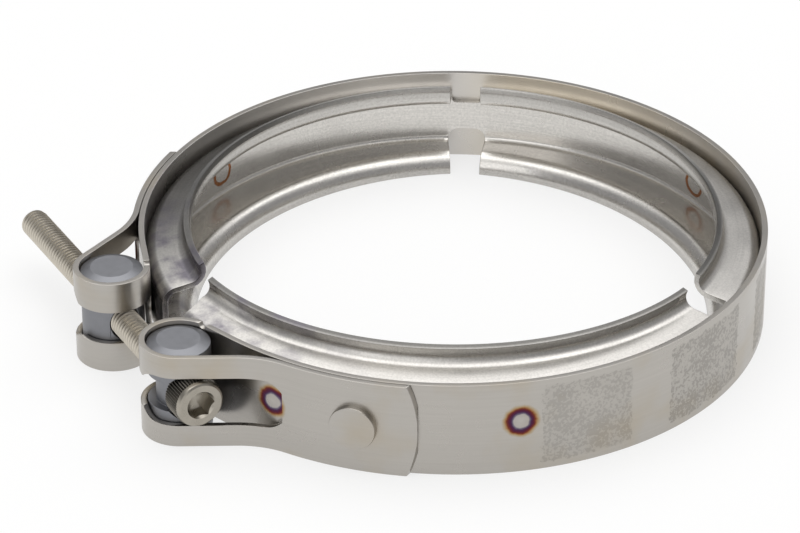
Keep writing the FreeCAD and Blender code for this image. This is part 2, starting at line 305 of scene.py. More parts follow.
def smooth(piece, sharp=38):
    """Shade smooth up to an angle, with wide faces keeping their own direction."""
    choose(piece)
    bpy.ops.object.shade_smooth_by_angle(angle=math.radians(sharp))
    modify(piece, "WEIGHTED_NORMAL", keep_sharp=True, weight=80)


def section(centre, angle, inner, outer, height):
    """An upright rectangle between two radii: the face that is swept along a path."""
    return start(bpy.ops.mesh.primitive_plane_add, size=1, scale_to=(outer - inner, height, 1),
                 location=polar((inner + outer) / 2, angle, centre),
                 rotation=(math.pi / 2, 0, math.radians(angle)))


def arc_tool(centre, inner, outer, begin, end, height, step=BEND_STEP):
    """Cutter that is part of a flat ring."""
    tool = section(centre, begin, inner, outer, height)
    edit(tool)
    spin(centre, end - begin, step)
    close()
    mend(tool)
    return tool


def pin(centre, direction, radius, near, far, sides=72):
    """Cylinder that points away from a centre, from one distance to another."""
    return start(bpy.ops.mesh.primitive_cylinder_add, vertices=sides, radius=radius, depth=far - near,
                 location=centre + direction * (near + far) / 2,
                 rotation=direction.to_track_quat("Z", "Y").to_euler())


def turned(rings, sides=96):
    """Solid of revolution about the Z axis, extruded ring by ring from (radius, height) pairs."""
    radius, height = rings[0]
    piece = start(bpy.ops.mesh.primitive_circle_add, vertices=sides, radius=radius, fill_type="NGON",
                  location=(0, 0, height))
    edit(piece)
    for next_radius, next_height in rings[1:]:
        pull((0, 0, next_height - height))
        grow(next_radius / radius, (0, 0, next_height))
        radius, height = next_radius, next_height
    close()
    mend(piece)
    return piece


def wire(points):
    """Open line through the points, drawn by extruding a single vertex."""
    piece = start(bpy.ops.mesh.primitive_plane_add, size=MM, location=points[0])
    edit(piece)
    bpy.ops.mesh.merge(type="CENTER")
    for here, there in zip(points, points[1:]):
        pull(there - here)
    close()
    return piece


def put(piece, place, rotation=(0, 0, 0)):
    """Move and turn a piece, with its place kept in its mesh."""
    choose(piece)
    piece.rotation_euler = rotation
    piece.location = place
    bpy.ops.object.transform_apply(location=True, rotation=True, scale=True)


def swing(piece, angle):
    """Turn a piece about the ring's axis, by degrees."""
    put(piece, ORIGIN, (0, 0, math.radians(angle)))


def deliver(piece, name, body, node, material):
    """Name a finished piece, tie it to the frame and give it its material."""
    piece.name = name
    piece.data.name = name
    piece.data.materials.clear()
    piece.data.materials.append(material)
    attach(piece, body)
    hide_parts(node)


def add(tree, kind, inputs, **settings):
    """Add one node with its settings, and fill its inputs or join them to sockets or other nodes."""
    made = tree.nodes.new("ShaderNode" + kind)
    for name, value in settings.items():
        setattr(made, name, value)
    for name, value in inputs.items():
        if isinstance(value, bpy.types.Node):
            value = value.outputs[0]
        if isinstance(value, bpy.types.NodeSocket):
            tree.links.new(value, made.inputs[name])
        else:
            made.inputs[name].default_value = value
    return made


def blank_material(name):
    """Material with an empty node tree."""
    material = bpy.data.materials.new(name)
    material.use_nodes = True
    material.node_tree.nodes.clear()
    return material


def start_metal(name):
    """Material, node tree and place on the object in millimetres, which every metal here starts from."""
    material = blank_material(name)
    tree = material.node_tree
    place = add(tree, "TexCoord", {}).outputs["Object"]
    return material, tree, add(tree, "VectorMath", {0: place, "Scale": 1 / MM}, operation="SCALE")


def finish_metal(tree, base, rough, relief, strength, depth):
    """Join a metal's colour, roughness and relief, whose depth is in millimetres."""
    bump = add(tree, "Bump", {"Height": relief, "Strength": strength, "Distance": depth * MM})
    skin = add(tree, "BsdfPrincipled",
               {"Base Color": base, "Metallic": 1.0, "Roughness": rough, "Normal": bump})
    add(tree, "OutputMaterial", {"Surface": skin})


def in_plane(tree, place):
    """Coordinates of a place, and its part in the ring's plane."""
    split = add(tree, "SeparateXYZ", {0: place}).outputs
    return split, add(tree, "CombineXYZ", {0: split[0], 1: split[1]})


def weld_distance(tree, place, radius):
    """Millimetres from the nearest spot weld, the same on the outside and the inside of the sheet."""
    split, flat = in_plane(tree, place)
    unit = add(tree, "VectorMath", {0: flat}, operation="NORMALIZE")
    rim = add(tree, "VectorMath", {0: unit, "Scale": radius}, operation="SCALE")
    height = add(tree, "CombineXYZ", {2: split[2]})
    spot = add(tree, "VectorMath", {0: rim, 1: height}, operation="ADD")
    nearest = None
    for angle, lift in SPOT_WELDS:
        weld = polar(radius, angle) + UP * lift
        away = add(tree, "VectorMath", {0: spot, 1: weld}, operation="DISTANCE").outputs["Value"]
        nearest = away if nearest is None else \
            add(tree, "Math", {0: nearest, 1: away}, operation="MINIMUM")
    wander = add(tree, "TexNoise", {"Vector": place, "Scale": 0.7, "Detail": 2.0})
    wander = add(tree, "MapRange", {0: wander, 3: -0.3, 4: 0.3})
    return add(tree, "Math", {0: nearest, 1: wander}, operation="ADD")


def stainless_strip(finishes, sizes):
    """Cold rolled stainless strip: satin grey, with faint rolling lines along its length."""
    material, tree, mm = start_metal("stainless_strip")
    # Rolling lines: about 0.5 mm apart across the strip, some centimetres long
    lines = add(tree, "Mapping", {"Vector": mm, "Scale": (0.04, 0.04, 2.0)})
    lines = add(tree, "TexNoise", {"Vector": lines, "Scale": 1.0, "Detail": 4.0, "Roughness": 0.65})
    cloud = add(tree, "TexNoise", {"Vector": mm, "Scale": 0.08, "Detail": 3.0})
    grain = add(tree, "TexNoise", {"Vector": mm, "Scale": 2.5, "Detail": 2.0})
    shade = add(tree, "MapRange", {0: lines, 1: NOISE_LOW, 2: NOISE_HIGH, 3: 0.97, 4: 1.03})
    base = add(tree, "VectorMath", {0: finishes.strip[:3], "Scale": shade}, operation="SCALE")
    straw = add(tree, "MapRange", {0: cloud, 1: 0.5, 2: 0.75, 3: 0.0, 4: 0.5})
    base = add(tree, "Mix", {0: straw, 6: base, 7: linear("#B0A48F")}, data_type="RGBA").outputs[2]
    # Painted light: the inside of the ring is lightened, except within 30 degrees of the direction at 60
    # degrees
    split, flat = in_plane(tree, mm)
    radius = add(tree, "VectorMath", {0: flat}, operation="LENGTH").outputs["Value"]
    inner_face_radius = (sizes.ring_radius - 0.9 * sizes.sheet) / MM
    inside = add(tree, "Math", {0: radius, 1: inner_face_radius}, operation="LESS_THAN")
    turn = add(tree, "Math", {0: split[1], 1: split[0]}, operation="ARCTAN2")
    turn = add(tree, "Math", {0: turn}, operation="DEGREES")
    painted_light = add(tree, "Math", {0: turn, 1: 60.0}, operation="SUBTRACT")
    painted_light = add(tree, "Math", {0: painted_light}, operation="ABSOLUTE")
    painted_light = add(tree, "MapRange", {0: painted_light, 1: 30.0, 2: 60.0})
    painted_light = add(tree, "Math", {0: painted_light, 1: inside}, operation="MULTIPLY")
    # The painted light is straw coloured within 22 degrees of 118, and grey further round
    aside = add(tree, "Math", {0: turn, 1: 118.0}, operation="SUBTRACT")
    aside = add(tree, "Math", {0: aside}, operation="ABSOLUTE")
    aside = add(tree, "MapRange", {0: aside, 1: 22.0, 2: 34.0})
    pale = add(tree, "Mix", {0: aside, 6: linear("#D2CABC"), 7: linear("#C9C6C2")},
               data_type="RGBA").outputs[2]
    base = add(tree, "Mix", {0: painted_light, 6: base, 7: pale}, data_type="RGBA").outputs[2]
    # Oxide rings of a spot weld, over 4 mm: silver middle, violet, red, then straw
    away = weld_distance(tree, mm, (sizes.ring_radius - sizes.sheet) / MM)
    share = add(tree, "MapRange", {0: away, 1: 0.0, 2: 4.0})
    tint = add(tree, "ValToRGB", {0: share})
    tint.color_ramp.elements[0].color = linear("#FFFFFF")
    for stop, code in ((0.36, "#F4F2F4"), (0.42, "#9A92B0"), (0.49, "#6E4A76"), (0.60, "#7C3C58"),
                       (0.69, "#A25648"), (0.75, "#DDAA78"), (0.82, "#F2DFC0"), (0.94, "#FFFFFF")):
        tint.color_ramp.elements.new(stop).color = linear(code)
    base = add(tree, "Mix", {0: 1.0, 6: base, 7: tint}, data_type="RGBA", blend_type="MULTIPLY").outputs[2]
    # Faded patches: the skin is etched dull to 8.4 mm from the strip's middle, with ragged edges
    ragged = add(tree, "TexNoise", {"Vector": mm, "Scale": 0.8, "Detail": 3.0})
    ragged = add(tree, "MapRange", {0: ragged, 3: -1.5, 4: 1.5})
    turn = add(tree, "Math", {0: turn, 1: ragged}, operation="ADD")
    skin_radius = (sizes.ring_radius - sizes.sheet / 2) / MM
    patches = add(tree, "Math", {0: radius, 1: skin_radius}, operation="GREATER_THAN")
    height = add(tree, "Math", {0: split[2], 1: ragged}, operation="ADD")
    high = add(tree, "Math", {0: height, 1: 0.0, 2: 8.4}, operation="COMPARE")
    patches = add(tree, "Math", {0: patches, 1: high}, operation="MULTIPLY")
    stretches = None
    for middle, half in FADED_PATCHES:
        here = add(tree, "Math", {0: turn, 1: middle, 2: half}, operation="COMPARE")
        stretches = here if stretches is None else \
            add(tree, "Math", {0: stretches, 1: here}, operation="MAXIMUM")
    patches = add(tree, "Math", {0: patches, 1: stretches}, operation="MULTIPLY")
    # Bright worm-like gaps about 1 mm wide run through them, closer together in some places
    worms = add(tree, "TexNoise", {"Vector": mm, "Scale": 1.5, "Detail": 2.0, "Distortion": 0.6})
    spread = add(tree, "TexNoise", {"Vector": mm, "Scale": 0.16, "Detail": 2.0})
    worms = add(tree, "Math", {0: spread, 1: 0.4, 2: worms}, operation="MULTIPLY_ADD")
    etched = add(tree, "MapRange", {0: worms, 1: 0.66, 2: 0.73})
    faded = add(tree, "Math", {0: patches, 1: etched}, operation="MULTIPLY")
    depth = add(tree, "MapRange", {0: turn, 1: 6.0, 2: 12.0, 3: 0.85, 4: 0.77})
    etching_and_rim_shade = add(tree, "VectorMath", {0: base, "Scale": depth}, operation="SCALE")
    base = add(tree, "Mix", {0: faded, 6: base, 7: etching_and_rim_shade}, data_type="RGBA").outputs[2]
    rough = add(tree, "MapRange", {0: cloud, 1: NOISE_LOW, 2: NOISE_HIGH, 3: 0.26, 4: 0.34})
    rough = add(tree, "Math", {0: patches, 1: 0.14, 2: rough}, operation="MULTIPLY_ADD")
    relief = add(tree, "Math", {0: grain, 1: 0.3, 2: lines}, operation="MULTIPLY_ADD")
    finish_metal(tree, base, rough, relief, 0.08, 0.02)
    return material


def formed_stainless(finishes, sizes):
    """Roll formed stainless: burnished, with scribed lines round it and a faint violet cast."""
    material, tree, mm = start_metal("formed_stainless")
    split, flat = in_plane(tree, mm)
    radius = add(tree, "VectorMath", {0: flat}, operation="LENGTH").outputs["Value"]
    # Roll marks: lines of one radius and height, so they run round the ring, broken up along it
    across = add(tree, "CombineXYZ", {0: radius, 1: split[2]})
    along = add(tree, "VectorMath", {0: mm, "Scale": 0.03}, operation="SCALE")
    across = add(tree, "VectorMath", {0: across, 1: along}, operation="ADD")
    marks = add(tree, "TexNoise", {"Vector": across, "Scale": 2.0, "Detail": 4.0, "Roughness": 0.7})
    cloud = add(tree, "TexNoise", {"Vector": mm, "Scale": 0.1, "Detail": 4.0})
    grain = add(tree, "TexNoise", {"Vector": mm, "Scale": 1.6, "Detail": 3.0})
    shade = add(tree, "MapRange", {0: marks, 1: NOISE_LOW, 2: NOISE_HIGH, 3: 0.9, 4: 1.04})
    # Speckle about 0.5 mm across, as the rolls leave it
    speckle = add(tree, "TexNoise", {"Vector": mm, "Scale": 2.2, "Detail": 2.0, "Roughness": 0.7})
    speckle = add(tree, "MapRange", {0: speckle, 1: NOISE_LOW, 2: NOISE_HIGH, 3: 0.88, 4: 1.08})
    # Painted shade: the lips, from 8 to 9 mm above or below the middle, are darker than the rest
    lips = add(tree, "Math", {0: split[2]}, operation="ABSOLUTE")
    lips = add(tree, "MapRange", {0: lips, 1: 7.9, 2: 9.2, 3: 1.04, 4: 0.8})
    # Painted shade darkens the sheared rim of the upper lip, most of all on its +X side
    rim = add(tree, "MapRange", {0: split[2], 1: 10.9, 2: 11.3})
    rim_shade_by_side = add(tree, "MapRange", {0: split[0], 1: -30.0, 2: 15.0, 3: 0.0, 4: -0.7})
    etching_and_rim_shade = add(tree, "Math", {0: rim, 1: rim_shade_by_side, 2: 1.0}, operation="MULTIPLY_ADD")
    # Painted shade: the top of the upper flange is darkest at its nut side end
    facing = add(tree, "NewGeometry", {}).outputs["Normal"]
    facing = add(tree, "SeparateXYZ", {0: facing}).outputs[2]
    facing = add(tree, "Math", {0: facing, 1: 0.2}, operation="GREATER_THAN")
    upper = add(tree, "MapRange", {0: split[2], 1: 4.0, 2: 5.5})
    upper = add(tree, "Math", {0: upper, 1: facing}, operation="MULTIPLY")
    left = add(tree, "MapRange", {0: split[0], 1: -5.0, 2: -35.0, 4: 0.7})
    near = add(tree, "MapRange", {0: split[1], 1: 15.0, 2: -20.0})
    left = add(tree, "Math", {0: left, 1: near}, operation="MULTIPLY")
    left = add(tree, "Math", {0: left, 1: upper}, operation="MULTIPLY")
    painted_flange_shade = add(tree, "Math", {0: left, 1: -1.0, 2: 1.0}, operation="MULTIPLY_ADD")
    # Roll marks and speckle, times the painted shade of the lips, the upper lip's rim and the upper
    # flange's top
    for part in (speckle, lips, etching_and_rim_shade, painted_flange_shade):
        shade = add(tree, "Math", {0: shade, 1: part}, operation="MULTIPLY")
    base = add(tree, "VectorMath", {0: finishes.insert[:3], "Scale": shade}, operation="SCALE")
    # A thin heat ring, 2.5 mm in radius, shows through at each spot weld, on the web alone
    web = add(tree, "MapRange", {0: radius, 1: 59.8, 2: 60.8})
    away = weld_distance(tree, mm, (sizes.ring_radius - 2 * sizes.sheet) / MM)
    ring = add(tree, "Math", {0: away, 1: 2.5, 2: 0.4}, operation="COMPARE")
    ring = add(tree, "Math", {0: ring, 1: web}, operation="MULTIPLY")
    base = add(tree, "Mix", {0: ring, 6: base, 7: linear("#A9744F")}, data_type="RGBA").outputs[2]
    # Forming oil and heat leave a violet cast near the closure, in blots some millimetres across
    closeness = add(tree, "MapRange", {0: split[1], 1: -38.0, 2: -58.0, 4: 0.85})
    stain = add(tree, "TexNoise", {"Vector": mm, "Scale": 0.16, "Detail": 4.0})
    stain = add(tree, "MapRange", {0: stain, 1: 0.46, 2: 0.66})
    cast = add(tree, "Math", {0: closeness, 1: stain}, operation="MULTIPLY")
    base = add(tree, "Mix", {0: cast, 6: base, 7: linear("#625C6E")}, data_type="RGBA").outputs[2]
    rough = add(tree, "MapRange", {0: cloud, 1: NOISE_LOW, 2: NOISE_HIGH, 3: 0.2, 4: 0.3})
    rough = add(tree, "Math", {0: upper, 1: 0.1, 2: rough}, operation="MULTIPLY_ADD")
    relief = add(tree, "Math", {0: grain, 1: 0.4, 2: marks}, operation="MULTIPLY_ADD")
    finish_metal(tree, base, rough, relief, 0.16, 0.03)
    return material


def zinc_plate(finishes):
    """Steel with a thin bluish zinc plating: soft grey, slightly cloudy."""
    material, tree, mm = start_metal("zinc_plate")
    cloud = add(tree, "TexNoise", {"Vector": mm, "Scale": 0.6, "Detail": 4.0})
    # Upright marks a quarter of a millimetre wide, from the plating barrel
    marks = add(tree, "Mapping", {"Vector": mm, "Scale": (4.0, 4.0, 0.5)})
    marks = add(tree, "TexNoise", {"Vector": marks, "Scale": 1.0, "Detail": 3.0})
    shade = add(tree, "MapRange", {0: cloud, 1: NOISE_LOW, 2: NOISE_HIGH, 3: 0.93, 4: 1.05})
    base = add(tree, "VectorMath", {0: finishes.zinc[:3], "Scale": shade}, operation="SCALE")
    rough = add(tree, "MapRange", {0: cloud, 1: NOISE_LOW, 2: NOISE_HIGH, 3: 0.4, 4: 0.5})
    finish_metal(tree, base, rough, marks, 0.12, 0.02)
    return material


def rolled_screw_steel(finishes):
    """Stainless screw steel: warm grey, with turning marks round the screw's axis."""
    material, tree, mm = start_metal("rolled_screw_steel")
    split = add(tree, "SeparateXYZ", {0: mm}).outputs
    cloud = add(tree, "TexNoise", {"Vector": mm, "Scale": 0.5, "Detail": 3.0})
    # Turning marks: rings about 0.2 mm apart along the screw
    turning = add(tree, "Mapping", {"Vector": mm, "Scale": (6.0, 0.3, 0.3)})
    turning = add(tree, "TexNoise", {"Vector": turning, "Scale": 1.0, "Detail": 2.0})
    shade = add(tree, "MapRange", {0: cloud, 1: NOISE_LOW, 2: NOISE_HIGH, 3: 0.9, 4: 1.04})
    # The head, past 19 mm, is darker than the shank
    head = add(tree, "MapRange", {0: split[0], 1: 19.0, 2: 19.2, 3: 1.0, 4: 0.6})
    # Painted shade darkens the knurling's grooves, 4.4 mm from the screw's axis, and the thread's roots
    flat = add(tree, "CombineXYZ", {1: split[1], 2: split[2]})
    away = add(tree, "VectorMath", {0: flat, 1: (0, -68.7, 0)}, operation="DISTANCE").outputs["Value"]
    groove = add(tree, "Math", {0: away, 1: 4.4, 2: 0.54}, operation="COMPARE")
    knurl = add(tree, "Math", {0: split[0], 1: 21.6, 2: 2.35}, operation="COMPARE")
    shank = add(tree, "Math", {0: split[0], 1: 19.0}, operation="LESS_THAN")
    root = add(tree, "MapRange", {0: away, 1: 2.85, 2: 2.45, 4: 0.8})
    root = add(tree, "Math", {0: root, 1: shank}, operation="MULTIPLY")
    painted_recess_shade = add(tree, "Math", {0: groove, 1: knurl, 2: root}, operation="MULTIPLY_ADD")
    painted_recess_shade = add(tree, "Math", {0: painted_recess_shade, 1: -0.6, 2: 1.0}, operation="MULTIPLY_ADD")
    for part in (head, painted_recess_shade):
        shade = add(tree, "Math", {0: shade, 1: part}, operation="MULTIPLY")
    base = add(tree, "VectorMath", {0: finishes.screw[:3], "Scale": shade}, operation="SCALE")
    rough = add(tree, "MapRange", {0: cloud, 1: NOISE_LOW, 2: NOISE_HIGH, 3: 0.26, 4: 0.36})
    finish_metal(tree, base, rough, turning, 0.1, 0.02)
    return material


def material_named(name, maker, *values):
    """The material of that name, made when it is first asked for."""
    return bpy.data.materials.get(name) or maker(*values)


class CLAMP_OT_band(bpy.types.Operator):
    """Make the strip: ring, loops, keyhole slots and folded tails"""
    bl_idname = "clamp.band"
    bl_label = "Band"

    def execute(self, context):
        sizes = context.scene.clamp_sizes
        plan = closure_plan(sizes)
        strip = section(ORIGIN, BACK_DEG, plan.ring_inner, sizes.ring_radius, sizes.strip_width)
        edit(strip)
        spin(ORIGIN, plan.leave - BACK_DEG, RING_STEP)
        pull(plan.lead)
        spin(plan.trunnion, plan.loop_end - plan.loop_start, LOOP_STEP)
        pull(plan.slope_run)
        spin(plan.bend, plan.bend_end - plan.bend_start, BEND_STEP)
        spin(ORIGIN, plan.tail_end - plan.land, RING_STEP)
        close()
        mend(strip)
        self.cut_slot(strip, sizes, plan)
        self.trim(strip, sizes, plan)
        # The face at the back would lie inside the strip once it is mirrored
        edit(strip)
        pick(strip, "FACE", lambda middle: abs(middle.x) < 0.1 * HAIR)
        bpy.ops.mesh.delete(type="FACE")
        close()
        modify(strip, "MIRROR", use_axis=(True, False, False), use_mirror_merge=True,
               merge_threshold=0.005 * MM)
        ease(strip, sizes.edge)
        finishes = context.scene.clamp_finishes
        deliver(strip, "band", "clamp", "outer_band",
                material_named("stainless_strip", stainless_strip, finishes, sizes))
        return {"FINISHED"}

    def cut_slot(self, strip, sizes, plan):
        """Keyhole slot: narrow round the closure side, wide where the screw's head goes in."""
        inner = plan.loop_inner - SPARE
        outer = plan.loop_outer + SPARE
        # Degrees round the trunnion where the slot begins and where it widens
        narrow = plan.loop_start + 22
        wide = 299
        overlap = 3
        combine(strip, arc_tool(plan.trunnion, inner, outer, narrow, wide + overlap, sizes.screw_slot))
        combine(strip, pin(plan.trunnion, polar(1, narrow), sizes.screw_slot / 2, 0, outer))
        combine(strip, pin(plan.trunnion, polar(1, wide), sizes.head_slot / 2, 0, outer))
        slot_end = angle_of(polar(plan.tail_inner, SLOT_END_DEG + CLOSURE_DEG) - plan.bend) % 360
        slot_end += math.degrees(sizes.head_slot / 2 / plan.bend_radius)
        tool = section(plan.trunnion, wide, inner, outer, sizes.head_slot)
        edit(tool)
        spin(plan.trunnion, plan.loop_end - wide, BEND_STEP)
        pull(plan.slope_run)
        spin(plan.bend, slot_end - plan.bend_start, BEND_STEP)
        close()
        mend(tool)
        combine(strip, tool)
        near = plan.bend_radius - sizes.sheet - SPARE
        far = plan.bend_radius + sizes.tail_gap / 2
        combine(strip, pin(plan.bend, polar(1, slot_end), sizes.head_slot / 2, near, far))

    def trim(self, strip, sizes, plan):
        """Edge reliefs at the loop, rivet hole and crowned tail end."""
        relief_radius = 0.9 * MM
        rivet_radius = 2.55 * MM
        # Degrees of the tail's end that its crown takes corners from
        corner_span = 12
        middle = polar(plan.ring_inner, plan.leave) + plan.lead
        outward = polar(1, plan.leave)
        for side in (-1, 1):
            corner = middle + UP * (side * sizes.strip_width / 2)
            combine(strip, pin(corner, outward, relief_radius, -SPARE, sizes.sheet + SPARE, sides=32))
        combine(strip, pin(ORIGIN, polar(1, RIVET_DEG + CLOSURE_DEG), rivet_radius,
                           plan.ring_inner - SPARE, plan.tail_outer + SPARE, sides=32))
        lag = math.degrees(math.asin(sizes.crown / plan.tail_outer))
        corners = arc_tool(ORIGIN, plan.tail_inner - sizes.tail_gap / 2, plan.tail_outer + SPARE,
                           plan.tail_end - corner_span, plan.tail_end + 0.5, sizes.strip_width + SPARE,
                           FINE_STEP)
        crown = pin(ORIGIN, polar(1, plan.tail_end - lag), sizes.crown, 0, plan.tail_outer + 4 * SPARE,
                    sides=180)
        combine(corners, crown)
        combine(strip, corners)


class CLAMP_OT_insert(bpy.types.Operator):
    """Make the V insert: web, flanges and lips, with its notches"""
    bl_idname = "clamp.insert"
    bl_label = "V insert"

    def execute(self, context):
        sizes = context.scene.clamp_sizes
        half_gap = math.degrees(sizes.insert_gap) / 2
        piece, bends = self.profile(sizes)
        self.fold(piece, bends)
        swing(piece, GAP_MIDDLE_DEG + half_gap)
        edit(piece)
        spin(ORIGIN, 360 - 2 * half_gap, RING_STEP)
        close()
        mend(piece)
        for angle in NOTCHES_DEG:
            self.open_lips(piece, angle)
        # Shares of a lip's depth and of its width: at the front it is flat, at the back round
        flat_lip = (sizes.lip_flatness, 1)
        round_lip = (0.968, 0.97)
        # A lip is drawn in to just past the gap's edges, and clear of the notches
        past = 1
        short = 0.99
        first = GAP_MIDDLE_DEG - 360 + half_gap - past
        last = GAP_MIDDLE_DEG - half_gap + past
        ends = (first,) + NOTCHES_DEG + (last,)
        for begin, finish, upper in zip(ends, ends[1:], (flat_lip, round_lip, round_lip)):
            middle = (begin + finish) / 2
            half = (finish - begin) / 2 - short
            self.shrink_lip(piece, middle, half, 1, upper)
            self.shrink_lip(piece, middle, half, -1, flat_lip)
        modify(piece, "SOLIDIFY", thickness=sizes.sheet, offset=0, use_even_offset=True)
        mend(piece)
        for angle in NOTCHES_DEG:
            self.notch(piece, sizes, angle, width=6.4 * MM, taper=1.0, corner=1.0 * MM,
                       floor=3.6 * MM, far=INSERT_HIGH.z + MM)
            self.notch(piece, sizes, angle, width=8.0 * MM, taper=0.76, corner=2.4 * MM,
                       floor=-2.8 * MM, far=INSERT_LOW.z - MM)
        ease(piece, sizes.edge)
        finishes = context.scene.clamp_finishes
        deliver(piece, "insert", "clamp", "v_insert",
                material_named("formed_stainless", formed_stainless, finishes, sizes))
        return {"FINISHED"}

    def profile(self, sizes):
        """Folded line of the section's middle, and its bends as corner, neighbours and radius."""
        web = INSERT_HIGH.x - sizes.sheet / 2
        points = []
        bends = []
        for side, end, height, lean, lip_bend, web_bend in (
                (1, INSERT_HIGH.z, sizes.upper_flange, sizes.lip_lean, 3.0 * MM, 2.4 * MM),
                (-1, INSERT_LOW.z, -sizes.lower_flange, 0, 3.5 * MM, 1.6 * MM)):
            rim = sizes.sheet / 2 * math.sin(math.atan(lean))
            tip = Vector((sizes.lip_radius, 0, end - side * rim))
            foot = Vector((tip.x - lean * abs(tip.z - height), 0, height))
            corner = Vector((web, 0, side * sizes.flange_at_web))
            half = [tip, foot, corner]
            points += half if side > 0 else half[::-1]
            bends += [(foot, tip, corner, lip_bend), (corner, foot, Vector((web, 0, 0)), web_bend)]
        return wire(points), bends

    def fold(self, piece, bends):
        """Round the line's corners."""
        edit(piece)
        for corner, before, after, radius in bends:
            turn = math.pi - (before - corner).angle(after - corner)
            pick(piece, "VERT", lambda place: (place - corner).length < HAIR)
            bpy.ops.mesh.bevel(affect="VERTICES", offset=radius * math.tan(turn / 2), segments=6)
        close()

    def open_lips(self, piece, angle):
        """Clear both lips where a notch comes, so that the segments beside it can be drawn in freely."""
        cleared = 2.2
        swing(piece, -angle)
        edit(piece)
        pick(piece, "VERT", lambda place: place.xy.length < LIP_REACH and abs(angle_of(place)) < cleared)
        bpy.ops.mesh.delete(type="VERT")
        close()
        swing(piece, angle)

    def shrink_lip(self, piece, middle, half, side, share):
        """Draw one lip of a segment in: rolling leaves it flatter than the web, most at its middle."""
        swing(piece, -middle)
        edit(piece)
        pick(piece, "VERT", lambda place: side * place.z > 0 and place.xy.length < LIP_REACH
             and abs(angle_of(place)) < half)
        bpy.ops.transform.resize(value=share + (1,), center_override=ORIGIN)
        close()
        swing(piece, middle)

    def notch(self, piece, sizes, angle, width, taper, corner, floor, far):
        """Cut one notch through a lip, its flange and the web's edge, with its width tapered at the lip."""
        inner = 47 * MM
        lip = 53 * MM
        web = INSERT_HIGH.x - sizes.sheet
        past = 2 * MM
        depth = web + past - inner
        tool = start(bpy.ops.mesh.primitive_cube_add, size=1, scale_to=(depth, width, abs(far - floor)),
                     location=(inner + depth / 2, 0, (floor + far) / 2))
        edit(tool)
        pick(tool, "EDGE", lambda middle: abs(middle.z - floor) < HAIR and abs(middle.y) > 0.4 * width)
        bpy.ops.mesh.bevel(affect="EDGES", offset=corner, segments=6)
        slope = (1 - taper) / (web - lip)
        pick(tool, "VERT", lambda place: place.x < inner + MM)
        bpy.ops.transform.resize(value=(1, 1 - slope * (web - inner), 1), center_override=ORIGIN)
        pick(tool, "VERT", lambda place: place.x > inner + MM)
        bpy.ops.transform.resize(value=(1, 1 + slope * past, 1), center_override=ORIGIN)
        close()
        swing(tool, angle)
        combine(piece, tool)


class CLAMP_OT_trunnions(bpy.types.Operator):
    """Make the two trunnions: one clears the screw, the other carries its thread"""
    bl_idname = "clamp.trunnions"
    bl_label = "Trunnions"

    def execute(self, context):
        sizes = context.scene.clamp_sizes
        plan = closure_plan(sizes)
        zinc = material_named("zinc_plate", zinc_plate, context.scene.clamp_finishes)
        radius = sizes.trunnion_radius
        end = sizes.trunnion_length / 2
        chamfer = 0.9 * MM
        face = radius - 2 * MM
        foot = [(face, -end), (radius, chamfer - end)]
        head = [(radius, end - chamfer), (face, end)]
        plain = self.plain(plan.trunnion, radius, foot, head)
        nut = self.nut(Vector((-plan.trunnion.x, plan.trunnion.y, 0)), radius, foot, head)
        turned_edge = 0.1 * MM
        for barrel, name, node in ((plain, "trunnion_plain", "plain_trunnion"),
                                   (nut, "trunnion_nut", "nut_trunnion")):
            ease(barrel, turned_edge, sharp=20)
            deliver(barrel, name, "clamp", node, zinc)
        return {"FINISHED"}

    def plain(self, centre, radius, foot, head):
        """Barrel with a neck at its middle, a clearance hole and a seat for the screw's head."""
        neck = 4.6 * MM
        neck_end = 3.1 * MM
        hole = 3.3 * MM
        seat = 5.4 * MM
        seat_place = 3.6 * MM
        waist = [(radius, -neck_end), (neck, -neck_end), (neck, neck_end), (radius, neck_end)]
        barrel = turned(foot + waist + head)
        put(barrel, centre)
        combine(barrel, pin(centre, OUT, hole, -2 * radius, 2 * radius))
        combine(barrel, pin(centre, OUT, seat, seat_place, 2 * radius))
        return barrel

    def nut(self, centre, radius, foot, head):
        """Barrel with a plain bore for the screw's thread, countersunk at both ends."""
        thread = 3.05 * MM
        mouth = 3.9 * MM
        countersink = 0.9 * MM
        barrel = turned(foot + head)
        put(barrel, centre)
        bore = turned([(mouth, -2 * radius), (mouth, -radius), (thread, countersink - radius),
                       (thread, radius - countersink), (mouth, radius), (mouth, 2 * radius)])
        put(bore, centre, (0, math.pi / 2, 0))
        combine(barrel, bore)
        return barrel


